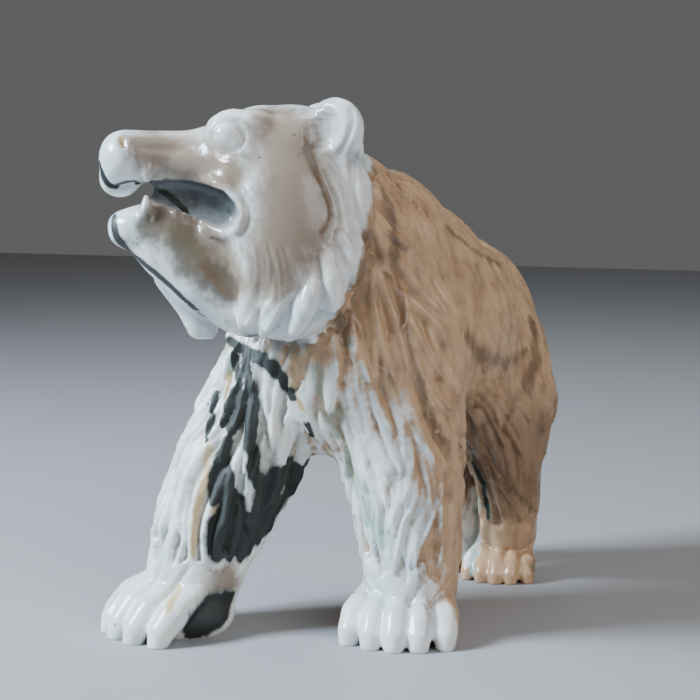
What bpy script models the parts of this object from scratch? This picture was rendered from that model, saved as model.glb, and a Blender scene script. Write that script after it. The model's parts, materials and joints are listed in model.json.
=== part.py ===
"""A bear carved from one piece of veined calcite, walking with its head turned and its mouth open.

The bear faces -Y, its left side is +X, and it stands on its soles at z = 0. Metres, +Z up.
The carving is one solid. It is roughed out from rounded masses, which a voxel remesh fuses and a
smoothing pass blends, as a carver rounds a block. The locks of fur are then cut in strokes that
follow the lie of the coat, and the mesh is thinned to the faces that its shape needs.
"""

import math
import random

import bmesh
import bpy
import numpy as np
from mathutils import Matrix, Quaternion, Vector
from mathutils.bvhtree import BVHTree
from mathutils.kdtree import KDTree

# Driving size. Every form below is a share of it, written in hundredths of the height.
HEIGHT = 0.112
UNIT = HEIGHT / 100

# How finely the stone is roughed out and finished, in units, and how many faces the carving keeps
ROUGH_VOXEL = 1.0
FINE_VOXEL = 0.7
FACES = 9300

# Smoothing passes: many over the quiet trunk, few over the head, fewest where small forms must stay
TRUNK_PASSES = 40
SKULL_PASSES = 20
FACE_PASSES = 3
WHOLE_PASSES = 2

# The head's own frame: forward along the muzzle, left, up
HEAD_AT = (-2.0, -9.6, 86.0)
HEAD_TURN = 52.0

# Locks of fur: how wide and long they are, how far they stand up and how much they wave
LOCK_WIDTH = 4.4
LOCK_LENGTH = 13.0
LOCK_RELIEF = 1.5
LOCK_WAVE = 28.0
# How far apart locks take root on the body, along it and round it, and on a leg. How much each one
# swings by itself, in degrees, how far neighbours wave together, and how deep the skin sinks between
BODY_STEP, BODY_PITCH = 6.0, 4.7
LEG_STEP, LEG_PITCH = 5.0, 4.1
LOCK_SWING = 30.0
WAVE_SPREAD = 11.0
SINK = 0.45

# Height above the soles where the fur of a leg ends and the smooth paw begins, and how far the locks
# keep off the bare head
FUR_END = 11.0
BARE_MARGIN = 1.2

# The part of the head whose small forms keep more faces: its middle, in the head's frame, and reach
HEAD_MIDDLE = (6, 0, 0)
HEAD_REACH = 30.0


def at(x, y, z):
    """A point given in units."""
    return Vector((x, y, z)) * UNIT


def turned(x, y, z):
    """A turn given in degrees about X, then Y, then Z."""
    return (Matrix.Rotation(math.radians(z), 4, "Z") @ Matrix.Rotation(math.radians(y), 4, "Y")
            @ Matrix.Rotation(math.radians(x), 4, "X"))


BODY = Matrix.Identity(4)
HEAD = Matrix.Translation(at(*HEAD_AT)) @ turned(0, 0, -90 - HEAD_TURN)


def ball(form, centre, radii, turn=(0, 0, 0), frame=BODY):
    """An egg-shaped mass: its centre, its three radii and its turn."""
    place = frame @ Matrix.Translation(at(*centre)) @ turned(*turn) @ Matrix.Diagonal((*at(*radii), 1))
    bmesh.ops.create_icosphere(form, subdivisions=4 if max(radii) > 8 else 3, radius=1, matrix=place)


def limb(form, stations, frame=BODY):
    """A tapering limb through stations of x, y, z and radius: a ball at each and a cone between."""
    for x, y, z, r in stations:
        ball(form, (x, y, z), (r, r, r), frame=frame)
    for (*a, ra), (*b, rb) in zip(stations, stations[1:]):
        start, end = at(*a), at(*b)
        run = end - start
        place = Matrix.Translation((start + end) / 2) @ run.to_track_quat("Z", "Y").to_matrix().to_4x4()
        bmesh.ops.create_cone(form, cap_ends=True, segments=28, radius1=ra * UNIT, radius2=rb * UNIT,
                              depth=run.length, matrix=frame @ place)


def placed(name, mesh):
    """An object that shows a mesh."""
    thing = bpy.data.objects.new(name, mesh)
    bpy.context.scene.collection.objects.link(thing)
    return thing


def mesh_of(form, name):
    """The form as a mesh of its own."""
    mesh = bpy.data.meshes.new(name)
    form.to_mesh(mesh)
    form.free()
    return mesh


def finished(thing):
    """The mesh that an object's modifiers make of it. The object itself goes."""
    graph = bpy.context.evaluated_depsgraph_get()
    made = bpy.data.meshes.new_from_object(thing.evaluated_get(graph))
    bpy.data.objects.remove(thing)
    return made


def fused(name, form, voxel, passes):
    """One closed skin over all the masses of a form, its joins softened by smoothing passes."""
    block = placed(name, mesh_of(form, name))
    remesh = block.modifiers.new("fuse", "REMESH")
    remesh.mode = "VOXEL"
    remesh.voxel_size = voxel * UNIT
    smooth = block.modifiers.new("soften", "SMOOTH")
    smooth.factor = 0.5
    smooth.iterations = passes
    return finished(block)


def cut(mesh, cutters):
    """The mesh with every cutter taken out of it."""
    block = placed("block", mesh)
    for cutter in cutters:
        modifier = block.modifiers.new("cut", "BOOLEAN")
        modifier.operation = "DIFFERENCE"
        modifier.object = cutter
    made = finished(block)
    for cutter in cutters:
        bpy.data.objects.remove(cutter)
    return made


# The body's masses

def torso(form):
    """Chest, hump, barrel, rump, thighs, neck and the short tail."""
    ball(form, (0, 12, 56), (19, 19, 24))
    ball(form, (0.5, 18, 71.4), (14.5, 20, 16.8))
    ball(form, (0, 31, 63.6), (16.5, 24, 18.6))
    ball(form, (0, 38, 56), (18.5, 28, 21))
    ball(form, (-1.4, 58, 53), (16.2, 21, 20.8))
    ball(form, (9, 59, 42), (9.5, 15, 20))
    ball(form, (-9, 59, 42), (9.5, 15, 20))
    limb(form, [(0, 10, 70, 17), (-1, -1, 79, 15), (-2, -8, 84, 12)])
    limb(form, [(-1, 70, 60, 9), (-1.5, 78, 56, 5), (-1.5, 81.5, 50, 3.2)])


LEFT_FORELEG = [(9.6, 13.2, 57, 11.6), (9.5, 12.2, 42, 12.1), (10.7, 12.1, 30, 11.4), (12.2, 11.9, 18, 9.6),
                (12.6, 11, 9, 9.2)]
RIGHT_FORELEG = [(-12, 12, 57, 12.5), (-16, 6, 42, 12.4), (-20.4, 1, 30, 11.8), (-24, -3.5, 18, 10.4),
                 (-25.6, -6, 9, 9.4)]
LEFT_HIND_LEG = [(9, 60, 40, 11.5), (10.1, 57.6, 28, 8.4), (9.2, 62.4, 17, 6.5), (8.0, 65, 9, 6.5)]
RIGHT_HIND_LEG = [(-9, 60, 40, 11.5), (-9, 62, 28, 9.6), (-8.8, 67.5, 17, 8.4), (-9.0, 69.5, 9, 8.0)]
LEGS = [LEFT_FORELEG, RIGHT_FORELEG, LEFT_HIND_LEG, RIGHT_HIND_LEG]

# Each paw: where it stands, which way it points and its size
PAWS = [((12.6, 8.5), 18, 1.0), ((-27.8, -8.8), -28, 1.1), ((7.2, 63.5), 14, 0.72), ((-9.8, 67.5), -8, 0.76)]


def toe(k):
    """One of five toes in a paw's own frame: knuckle, middle and blunt claw."""
    side = k - 2
    x = side * 4.3
    front = -11.0 + 0.8 * side * side
    return [(x * 0.82, front + 8.4, 8.4 - 0.5 * abs(side), 2.5),
            (x * 0.98, front + 3.8, 5.6 - 0.2 * abs(side), 2.7),
            (x * 1.04, front + 0.9, 2.4, 2.3), (x * 1.05, front + 0.3, 0.6, 1.9)]


def paw_frame(place, turn, size):
    return Matrix.Translation(at(*place, 0)) @ turned(0, 0, turn) @ Matrix.Scale(size, 4)


def paw(form, place, turn, size):
    """A paw on its sole: a low pad with five toes fanned in front of it."""
    frame = paw_frame(place, turn, size)
    ball(form, (0, 1.4, 3.4), (9.6, 9.4, 6.2), frame=frame)
    for k in range(5):
        limb(form, toe(k), frame=frame)


# The head's masses, in its own frame of forward, left and up

def skull(form):
    """Skull, brows, cheeks, muzzle, nose and jaw. The mouth is cut out of them afterwards."""
    ball(form, (-1, 0, 1), (13.5, 13, 11.8), frame=HEAD)
    ball(form, (5, 0, 4.6), (9.8, 9.5, 7.2), frame=HEAD)
    for side in (1, -1):
        ball(form, (9.4, 5.0 * side, 6.6), (5.4, 4.8, 5.3), turn=(0, -20, 0), frame=HEAD)
        ball(form, (6.5, 7.2 * side, 1.0), (6.5, 4.4, 7.0), frame=HEAD)
        ball(form, (-1, 8 * side, -8), (12.5, 8.5, 16.5), turn=(8 * side, 0, 0), frame=HEAD)
        ball(form, (8, 6.5 * side, -5), (8, 5, 8.5), frame=HEAD)
        ball(form, (-3.5, 7.5 * side, 6.5), (5, 4.5, 4.6), frame=HEAD)
    limb(form, [(4, 0, 4.5, 8.2), (12, 0, 3.0, 6.4), (18, 0, 3.6, 4.5), (24, 0, 3.5, 4.6), (27.8, 0, 3.4, 4.9)],
         frame=HEAD)
    ball(form, (28.6, 0, 3.2), (4.4, 5.4, 5.1), frame=HEAD)
    ball(form, (29.2, -2.0, -0.4), (4.0, 3.4, 3.7), frame=HEAD)
    limb(form, [(28.9, 0, -8.6, 2.9), (25.6, 0, -9.3, 4.6), (20, 0, -12.4, 6.6), (13.5, 0, -16.5, 8.4),
                (6, 0, -18.5, 10.4), (0, 0, -17, 12.5)], frame=HEAD)
    ball(form, (15, 0, -4), (9, 5.4, 5.5), frame=HEAD)
    ball(form, (27.0, 0, -9.0), (4.8, 4.6, 3.6), turn=(0, 30, 0), frame=HEAD)


# The pocket of the mouth and its open front, near side and far side, forward and up in the head's frame
POCKET = [(23.6, -0.5), (20, 0.0), (15.4, -1.2), (11.6, -2.5), (9.7, -4.5), (9.0, -6.4), (9.9, -8.4),
          (11.9, -9.0), (16.1, -7.4), (19.3, -6.1), (22.5, -4.5), (24.2, -3.2)]
NEAR_FRONT = [(38, -2.4), (31, -1.9), (29, -1.6), (26.7, -0.9), (24.7, -1.6), (22, -1.6), (22, -3.4),
              (24.6, -3.4), (26, -4.9), (29.6, -6.1), (38, -6.6)]
FAR_FRONT = [(38, -3.6), (33, -3.4), (30.6, -4.1), (27.3, -3.6), (26.2, -3.2), (25.6, -4.4), (26, -4.9),
             (29.6, -6.1), (38, -6.6)]
# How far off the head's middle the pockets begin, how far the near front reaches past it, and a
# distance that is past the head's side
TONGUE_HALF = 2.4
PAST_MIDDLE = 0.2
PAST_SIDE = 15


def slab(name, outline, near, far):
    """A cutter pulled through an outline of the head, from one distance off its middle to another."""
    form = bmesh.new()
    face = form.faces.new([form.verts.new(HEAD @ at(f, near, u)) for f, u in outline])
    pulled = bmesh.ops.extrude_face_region(form, geom=[face])
    corners = [v for v in pulled["geom"] if isinstance(v, bmesh.types.BMVert)]
    bmesh.ops.translate(form, verts=corners, vec=HEAD.to_3x3() @ at(0, far - near, 0))
    bmesh.ops.recalc_face_normals(form, faces=form.faces)
    return placed(name, mesh_of(form, name))


def mouth_cutters():
    """A pocket on each side, which leaves the tongue between them, and the open front."""
    return [slab("left_pocket", POCKET, TONGUE_HALF, PAST_SIDE),
            slab("right_pocket", POCKET, -PAST_SIDE, -TONGUE_HALF),
            slab("near_front", NEAR_FRONT, 0, PAST_SIDE),
            slab("far_front", FAR_FRONT, -PAST_SIDE, PAST_MIDDLE)]


# The lip round the mouth's corner, forward and up, and its radius
LIP_RADIUS = 1.1
LIP = [(14.6, -0.2), (12.2, -0.9), (9.8, -2.4), (8.0, -4.6), (7.5, -6.8), (8.4, -9.2), (10.8, -10.4),
       (13.4, -10.2)]

# The large locks of the ruff, behind and below the cheek: forward, left, up and radius
RUFF = [[(-9.5, 10.2, 5, 2.4), (-11.6, 10.2, -2, 3.0), (-12.8, 9.8, -8, 2.6), (-13.2, 9.4, -12, 1.5)],
        [(-8.5, 12.0, -5, 2.6), (-10.2, 12.4, -11, 3.2), (-10.8, 11.4, -16, 2.5), (-10.8, 10.4, -19, 1.4)],
        [(-5.0, 13.0, -12, 2.8), (-6.6, 13.2, -17, 3.4), (-7.2, 12.2, -21.4, 2.6), (-7.0, 11.0, -24.6, 1.4)],
        [(-1.2, 13.2, -16, 2.6), (-2.2, 13.0, -20, 3.0), (-2.6, 11.8, -23.6, 2.2), (-2.4, 10.8, -26.0, 1.3)],
        [(3.0, 12.6, -17, 2.8), (2.0, 12.4, -22, 3.3), (1.4, 11.4, -25.6, 2.5), (1.4, 10.4, -28.2, 1.4)],
        [(7.6, 11.0, -16, 2.4), (7.6, 10.8, -20.6, 2.8), (7.6, 9.8, -24, 2.1), (8.0, 8.8, -26.4, 1.2)]]


def rim(form, tree, line, side, radius):
    """A raised rim on the head's skin, along a line of forward and up, fading out at its ends."""
    stations = []
    for k, (f, u) in enumerate(line):
        spot = tree.ray_cast(HEAD @ at(f, 2 * PAST_SIDE * side, u), HEAD.to_3x3() @ Vector((0, -side, 0)))[0]
        x, y, z = HEAD.inverted() @ spot / UNIT
        swell = radius * math.sin(math.pi * (k + 0.7) / (len(line) + 0.4)) ** 0.5
        stations.append((x, y, z, swell))
    limb(form, stations, frame=HEAD)


def face_parts(form, tree):
    """Round ears, eyes, lips, and the large locks of the ruff that hang behind the cheeks."""
    for side in (1, -1):
        ball(form, (-7.4, 10.6 * side, 8.2), (2.9, 5.6, 5.3), turn=(0, 0, 52 * side), frame=HEAD)
        ball(form, (10.4, 8.6 * side, 6.7), (2.4, 2.1, 2.5), frame=HEAD)
        rim(form, tree, LIP, side, LIP_RADIUS)
        for stations in RUFF:
            limb(form, [(f, s * side, u, r) for f, s, u, r in stations], frame=HEAD)
    limb(form, [(20, -3.5, -18, 4.4), (17.0, -4.6, -24, 3.4), (15.6, -4.8, -28, 2.2)], frame=HEAD)


def dish_cutters():
    """The hollows of the ears."""
    cutters = []
    for side in (1, -1):
        form = bmesh.new()
        ball(form, (-5.3, 13.4 * side, 8.6), (2.2, 3.9, 3.9), turn=(0, 0, 52 * side), frame=HEAD)
        cutters.append(placed("dish", mesh_of(form, "dish")))
    return cutters


# The lie of the coat: at a place on the bear, in units, the way that the fur runs
LIE = [((0, -16, 60), (0.0, -0.15, -1)), ((0, -10, 40), (0.0, 0.1, -1)),
       ((19, 8, 62), (0.1, 0.2, -1)), ((-19, 8, 62), (-0.1, 0.2, -1)),
       ((14, 4, 86), (0.45, 0.35, -0.8)), ((-14, 4, 86), (-0.45, 0.35, -0.8)),
       ((0, 20, 90), (0.0, 1, -0.1)), ((10, 26, 84), (0.5, 0.6, -0.6)), ((-10, 26, 84), (-0.5, 0.6, -0.6)),
       ((19, 30, 60), (0.0, 0.3, -1)), ((-19, 30, 60), (0.0, 0.3, -1)),
       ((0, 55, 76), (0.0, 1, -0.3)), ((18, 58, 55), (0.0, 0.35, -1)), ((-18, 58, 55), (0.0, 0.35, -1)),
       ((0, 82, 52), (0.0, 0.1, -1)), ((0, 35, 34), (0.0, 1, -0.1)), ((0, 55, 32), (0.0, 1, -0.3)),
       ((12, 11, 25), (0.05, 0.0, -1)), ((-22, -1, 25), (-0.3, -0.3, -1)),
       ((10, 62, 25), (0.0, 0.25, -1)), ((-8, 60, 25), (0.0, 0.25, -1))]
GUIDES = [(at(*place), Vector(way).normalized()) for place, way in LIE]


def lie(spot):
    """The way the fur runs near a spot: the nearest guides count most."""
    way = Vector((0, 0, 0))
    for place, heading in GUIDES:
        gap = (spot - place).length / UNIT
        way += heading / (gap + 3) ** 3
    return way


def wave(spot, spread):
    """A slow, even unrest of the coat, between -1 and 1, the same for neighbouring locks."""
    x, y, z = (c / UNIT / spread for c in spot)
    return math.sin(x * 1.7 + 2.1 * math.sin(z * 0.9 + y)) * math.cos(y * 1.3 + 1.7 * math.sin(x + z * 0.7))


def lock_path(tree, root, length, swing, steps=8):
    """The line of a lock over the skin, from its root along the lie of the coat, with an S in it."""
    spot, normal, _, _ = tree.find_nearest(root)
    path = [spot]
    for k in range(steps):
        way = lie(spot)
        way -= normal * way.dot(normal)
        way.normalize()
        bend = LOCK_WAVE * wave(spot, WAVE_SPREAD) + swing * math.cos(math.pi * 1.3 * k / steps)
        way.rotate(Quaternion(normal, math.radians(bend)))
        spot, normal, _, _ = tree.find_nearest(spot + way * (length * UNIT / steps))
        path.append(spot)
    return path


def roots_round(tree, line, step, pitch, chance, facing=None):
    """Places on the skin, in rings round a line of stations and staggered from ring to ring."""
    roots = []
    ring = 0
    for (*a, ra), (*b, rb) in zip(line, line[1:]):
        start, end = at(*a), at(*b)
        rings = max(1, round((end - start).length / UNIT / step))
        across = (end - start).orthogonal().normalized()
        for j in range(rings):
            share = (j + chance.uniform(-0.2, 0.2)) / rings
            centre = start.lerp(end, share)
            count = max(6, round(2 * math.pi * (ra + (rb - ra) * share) / pitch))
            for k in range(count):
                turn = 2 * math.pi * (k + 0.5 * (ring % 2) + chance.uniform(-0.22, 0.22)) / count
                aim = across.copy()
                aim.rotate(Quaternion(end - start, turn))
                if facing is not None and aim.dot(facing) < 0.45:
                    continue
                slip = (end - start).normalized() * chance.uniform(-0.3, 0.3) * step * UNIT
                spot = tree.ray_cast(centre, aim)[0]
                if spot is not None:
                    roots.append(spot + slip)
            ring += 1
    return roots


def carved(mesh, strokes, floor):
    """Raises strokes from the skin: each a path, a half width and a height. Between them it sinks."""
    count = len(mesh.vertices)
    spots = np.empty(count * 3)
    mesh.vertices.foreach_get("co", spots)
    spots = spots.reshape(count, 3)
    normals = np.empty(count * 3, dtype=np.float32)
    mesh.vertex_normals.foreach_get("vector", normals)
    normals = normals.reshape(count, 3)
    tree = KDTree(count)
    for index, spot in enumerate(spots):
        tree.insert(spot, index)
    tree.balance()
    lift = np.zeros(count)
    furred = np.zeros(count, dtype=bool)
    for path, width, height in strokes:
        reach = max((p - path[len(path) // 2]).length for p in path) + width * UNIT
        near = np.array([index for _, index, _ in tree.find_range(path[len(path) // 2], reach)], dtype=int)
        if not len(near):
            continue
        line = np.array(path)
        run = line[1:] - line[:-1]
        off = spots[near][:, None, :] - line[None, :-1, :]
        share = np.clip((off * run).sum(2) / (run ** 2).sum(1), 0, 1)
        gap = np.linalg.norm(off - share[:, :, None] * run, axis=2)
        best = gap.argmin(1)
        rows = np.arange(len(near))
        along = (best + share[rows, best]) / len(run)
        leaf = 2.0 * (along + 0.04) ** 0.45 * (1.001 - along) ** 0.75
        across = gap[rows, best] / (width * UNIT * leaf)
        rise = height * (0.35 + 0.65 * along) * np.maximum(0, 1 - across ** 2) ** 0.7
        lift[near] = np.maximum(lift[near], rise)
        furred[near[across < 1.3]] = True
    lift[furred] -= floor
    spots += normals * (lift * UNIT)[:, None]
    mesh.vertices.foreach_set("co", spots.ravel())
    mesh.update()


def coat(tree, bare, chance):
    """The big locks of the body and legs. They keep off the bare head and paws."""
    spine = [(0, -12, 76, 20), (0, 4, 66, 20), (0, 24, 62, 20), (0, 60, 54, 19), (0, 70, 53, 14)]
    rump = [(0, 60, 76, 16), (0, 62, 40, 18)]
    places = [(roots_round(tree, spine, BODY_STEP, BODY_PITCH, chance), 1.0),
              (roots_round(tree, rump, BODY_STEP, BODY_PITCH, chance, Vector((0, 1, 0))), 1.0)]
    places += [(roots_round(tree, leg[:-1], LEG_STEP, LEG_PITCH, chance), 0.9) for leg in LEGS]
    strokes = []
    for roots, size in places:
        for root in roots:
            long, wide = (size * chance.uniform(0.8, 1.2) for _ in range(2))
            path = lock_path(tree, root, LOCK_LENGTH * long, chance.uniform(-LOCK_SWING, LOCK_SWING))
            path = [p for p in path if p.z > FUR_END * UNIT and bare.find_nearest(p)[3] > BARE_MARGIN * UNIT]
            if len(path) > 3:
                strokes.append((path, LOCK_WIDTH / 2 * wide, LOCK_RELIEF * size))
    return strokes


def tree_of(mesh):
    """A mesh as a search tree, for following its surface."""
    return BVHTree.FromPolygons([v.co for v in mesh.vertices], [p.vertices for p in mesh.polygons])


def thinned(mesh, faces):
    """The mesh with the faces that its shape needs, more of them where it bends."""
    block = placed("block", mesh)
    soften = block.modifiers.new("soften", "SMOOTH")
    soften.factor = 0.5
    soften.iterations = 1
    keep = block.vertex_groups.new(name="finer")
    for v in mesh.vertices:
        from_head = (v.co - HEAD @ at(*HEAD_MIDDLE)).length / UNIT
        keep.add([v.index], 0.5 if from_head < HEAD_REACH or v.co.z < FUR_END * UNIT else 1.0, "REPLACE")
    thin = block.modifiers.new("thin", "DECIMATE")
    thin.ratio = faces / (2 * len(mesh.vertices))
    thin.vertex_group = "finer"
    thin.vertex_group_factor = 0.00003
    return finished(block)


def levelled(mesh):
    """The mesh cut level at the soles, which it then stands on."""
    form = bmesh.new()
    form.from_mesh(mesh)
    bmesh.ops.bisect_plane(form, geom=form.verts[:] + form.edges[:] + form.faces[:], dist=1e-7,
                           plane_co=(0, 0, 0), plane_no=(0, 0, -1), clear_outer=True)
    rim = [edge for edge in form.edges if edge.is_boundary]
    bmesh.ops.holes_fill(form, edges=rim, sides=0)
    bmesh.ops.recalc_face_normals(form, faces=form.faces)
    return form


def centred(form):
    """The finished mesh, moved so that the middle of its footing is the origin, and that move."""
    low, high = (Vector(pick(v.co[k] for v in form.verts) for k in range(3)) for pick in (min, max))
    move = Vector((-(low.x + high.x) / 2, -(low.y + high.y) / 2, -low.z))
    bmesh.ops.translate(form, verts=form.verts, vec=move)
    return mesh_of(form, "bear"), move


for old in list(bpy.data.objects):
    bpy.data.objects.remove(old)

block = bmesh.new()
torso(block)
for leg in LEGS:
    limb(block, leg)
trunk = fused("trunk", block, ROUGH_VOXEL, TRUNK_PASSES)

block = bmesh.new()
skull(block)
head = cut(fused("head", block, FINE_VOXEL, SKULL_PASSES), mouth_cutters())
block = bmesh.new()
block.from_mesh(head)
face_parts(block, tree_of(head))
head = cut(fused("head", block, FINE_VOXEL, FACE_PASSES), dish_cutters())

block = bmesh.new()
block.from_mesh(trunk)
block.from_mesh(head)
for place, turn, size in PAWS:
    paw(block, place, turn, size)
whole = fused("whole", block, FINE_VOXEL, WHOLE_PASSES)
carved(whole, coat(tree_of(whole), tree_of(head), random.Random(7)), LOCK_RELIEF * SINK)
whole, OFFSET = centred(levelled(thinned(whole, FACES)))
bear = placed("bear", whole)

stone = bpy.data.materials.new("white_calcite")
stone.use_nodes = True
surface = stone.node_tree.nodes["Principled BSDF"]
surface.inputs["Base Color"].default_value = (0.62, 0.55, 0.47, 1)
surface.inputs["Roughness"].default_value = 0.3
bear.data.materials.clear()
bear.data.materials.append(stone)
print("faces", len(bear.data.polygons), "of triangles", sum(len(p.vertices) - 2 for p in bear.data.polygons))
print("size", [round(c * 1000, 2) for c in bear.dimensions], "moved", [round(c * 1000, 2) for c in OFFSET])
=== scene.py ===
# %% [markdown]
# # A bear carved from veined calcite
#
# The real object is one hand-sized block of calcite, roughed out with a saw, cut with small round
# burrs and polished. This lesson carves it again in Blender: rounded masses are fused into a body,
# the fur is cut in strokes that follow the lie of the coat, and the stone gets its patina and veins
# from procedural nodes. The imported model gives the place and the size, so it is loaded first.

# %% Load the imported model
import json
import math
import random

import bmesh
import bpy
import numpy as np
from mathutils import Matrix, Quaternion, Vector
from mathutils.bvhtree import BVHTree
from mathutils.kdtree import KDTree

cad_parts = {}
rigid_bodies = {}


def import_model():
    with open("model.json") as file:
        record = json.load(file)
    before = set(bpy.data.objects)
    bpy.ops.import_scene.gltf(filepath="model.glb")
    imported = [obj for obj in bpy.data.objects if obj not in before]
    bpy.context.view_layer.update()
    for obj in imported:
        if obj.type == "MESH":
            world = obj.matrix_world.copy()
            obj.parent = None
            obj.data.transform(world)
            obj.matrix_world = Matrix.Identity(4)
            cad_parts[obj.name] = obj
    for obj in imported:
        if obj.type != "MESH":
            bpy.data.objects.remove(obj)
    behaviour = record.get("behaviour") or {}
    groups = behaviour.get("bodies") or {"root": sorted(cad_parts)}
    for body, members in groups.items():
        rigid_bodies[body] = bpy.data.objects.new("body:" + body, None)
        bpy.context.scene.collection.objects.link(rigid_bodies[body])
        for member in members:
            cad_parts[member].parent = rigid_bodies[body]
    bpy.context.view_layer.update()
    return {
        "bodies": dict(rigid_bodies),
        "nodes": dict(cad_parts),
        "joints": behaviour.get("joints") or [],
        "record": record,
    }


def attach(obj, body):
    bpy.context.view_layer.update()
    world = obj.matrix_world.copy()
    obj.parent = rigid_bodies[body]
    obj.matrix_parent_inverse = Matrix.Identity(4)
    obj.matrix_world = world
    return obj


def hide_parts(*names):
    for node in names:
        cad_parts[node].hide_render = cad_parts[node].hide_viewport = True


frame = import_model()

# %% [markdown]
# ## Units
#
# A carver thinks in shares of the block. Every form below is given in hundredths of the height, so
# one unit is 1.12 mm. The bear faces -Y and its left side is +X. The head has a frame of its own,
# turned to the bear's right, in which a place is written as forward, left and up.

# %% Units and frames
HEIGHT = 0.112
UNIT = HEIGHT / 100
HEAD_AT = (-2.0, -9.6, 86.0)
HEAD_TURN = 52.0


def at(x, y, z):
    """A point given in units."""
    return Vector((x, y, z)) * UNIT


def turned(x, y, z):
    """A turn given in degrees about X, then Y, then Z."""
    return (Matrix.Rotation(math.radians(z), 4, "Z") @ Matrix.Rotation(math.radians(y), 4, "Y")
            @ Matrix.Rotation(math.radians(x), 4, "X"))


BODY = Matrix.Identity(4)
HEAD = Matrix.Translation(at(*HEAD_AT)) @ turned(0, 0, -90 - HEAD_TURN)
print("one unit in mm", round(UNIT * 1000, 3))

# %% [markdown]
# ## Masses
#
# A figure is roughed out before it is detailed. Two simple shapes are enough for a rough: an egg and
# a limb, which is a chain of balls with a cone between each two. They may overlap freely, because a
# voxel remesh then wraps one closed skin round them, and smoothing passes melt the joins, which is
# what a file does to the stone. Metaballs would also blend, but their swelling is hard to steer.

# %% Eggs, limbs and the fused skin
def ball(form, centre, radii, turn=(0, 0, 0), frame=BODY):
    """An egg-shaped mass: its centre, its three radii and its turn."""
    place = frame @ Matrix.Translation(at(*centre)) @ turned(*turn) @ Matrix.Diagonal((*at(*radii), 1))
    bmesh.ops.create_icosphere(form, subdivisions=4 if max(radii) > 5 else 3, radius=1, matrix=place)


def limb(form, stations, frame=BODY):
    """A tapering limb through stations of x, y, z and radius: a ball at each and a cone between."""
    for x, y, z, r in stations:
        ball(form, (x, y, z), (r, r, r), frame=frame)
    for (*a, ra), (*b, rb) in zip(stations, stations[1:]):
        start, end = at(*a), at(*b)
        run = end - start
        place = Matrix.Translation((start + end) / 2) @ run.to_track_quat("Z", "Y").to_matrix().to_4x4()
        bmesh.ops.create_cone(form, cap_ends=True, segments=36, radius1=ra * UNIT, radius2=rb * UNIT,
                              depth=run.length, matrix=frame @ place)


def placed(name, mesh):
    """An object that shows a mesh."""
    thing = bpy.data.objects.new(name, mesh)
    bpy.context.scene.collection.objects.link(thing)
    return thing


def mesh_of(form, name):
    """The form as a mesh of its own."""
    mesh = bpy.data.meshes.new(name)
    form.to_mesh(mesh)
    form.free()
    return mesh


def finished(thing):
    """The mesh that an object's modifiers make of it. The object itself goes."""
    graph = bpy.context.evaluated_depsgraph_get()
    made = bpy.data.meshes.new_from_object(thing.evaluated_get(graph))
    bpy.data.objects.remove(thing)
    return made


def fused(name, form, voxel, passes):
    """One closed skin over all the masses of a form, its joins softened by smoothing passes."""
    block = placed(name, mesh_of(form, name))
    remesh = block.modifiers.new("fuse", "REMESH")
    remesh.mode = "VOXEL"
    remesh.voxel_size = voxel * UNIT
    smooth = block.modifiers.new("soften", "SMOOTH")
    smooth.factor = 0.5
    smooth.iterations = passes
    return finished(block)


# %% [markdown]
# ## Trunk and legs
#
# The barrel, the high shoulder hump, the neck and the rump are eggs. The legs are limbs: the right
# foreleg reaches forward and out, and the left hind leg stands under the body, as in a slow walk.
# A coarse voxel and many smoothing passes give the long, quiet curves of a body under fur.

# %% Trunk and legs
ROUGH_VOXEL = 1.0

trunk_form = bmesh.new()
for centre, radii in (((0, 12, 56), (19, 19, 24)), ((0.5, 18, 71.4), (14.5, 20, 16.8)),
                      ((0, 31, 63.6), (16.5, 24, 18.6)), ((0, 38, 56), (18.5, 28, 21)),
                      ((-1.4, 58, 53), (16.2, 21, 20.8)), ((9, 59, 42), (9.5, 15, 20)),
                      ((-9, 59, 42), (9.5, 15, 20))):
    ball(trunk_form, centre, radii)

NECK = [(0, 10, 70, 17), (-1, -1, 79, 15), (-2, -8, 84, 12)]
TAIL = [(-1, 70, 60, 9), (-1.5, 78, 56, 5), (-1.5, 81.5, 50, 3.2)]
LEFT_FORELEG = [(9.6, 13.2, 57, 11.6), (9.5, 12.2, 42, 12.1), (10.7, 12.1, 30, 11.4), (12.2, 11.9, 18, 9.6),
                (12.6, 11, 9, 9.2)]
RIGHT_FORELEG = [(-12, 12, 57, 12.5), (-16, 6, 42, 12.4), (-20.4, 1, 30, 11.8), (-24, -3.5, 18, 10.4),
                 (-25.6, -6, 9, 9.4)]
LEFT_HIND_LEG = [(9, 60, 40, 11.5), (10.1, 57.6, 28, 8.4), (9.2, 62.4, 17, 6.5), (8.0, 65, 9, 6.5)]
RIGHT_HIND_LEG = [(-9, 60, 40, 11.5), (-9, 62, 28, 9.6), (-8.8, 67.5, 17, 8.4), (-9.0, 69.5, 9, 8.0)]
LEGS = [LEFT_FORELEG, RIGHT_FORELEG, LEFT_HIND_LEG, RIGHT_HIND_LEG]
for stations in (NECK, TAIL, *LEGS):
    limb(trunk_form, stations)
trunk = fused("trunk", trunk_form, ROUGH_VOXEL, 40)
print("trunk", len(trunk.vertices), "vertices")

# %% [markdown]
# ## Skull, muzzle and jaw
#
# The head is the sharpest part of the carving, so it is fused on its own with a finer voxel and
# fewer smoothing passes. The masses follow anatomy: braincase, brows, cheeks, a straight muzzle that
# ends in a bulb for the nose, and a jaw that runs back and down into the throat.

# %% Head masses
FINE_VOXEL = 0.45

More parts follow.
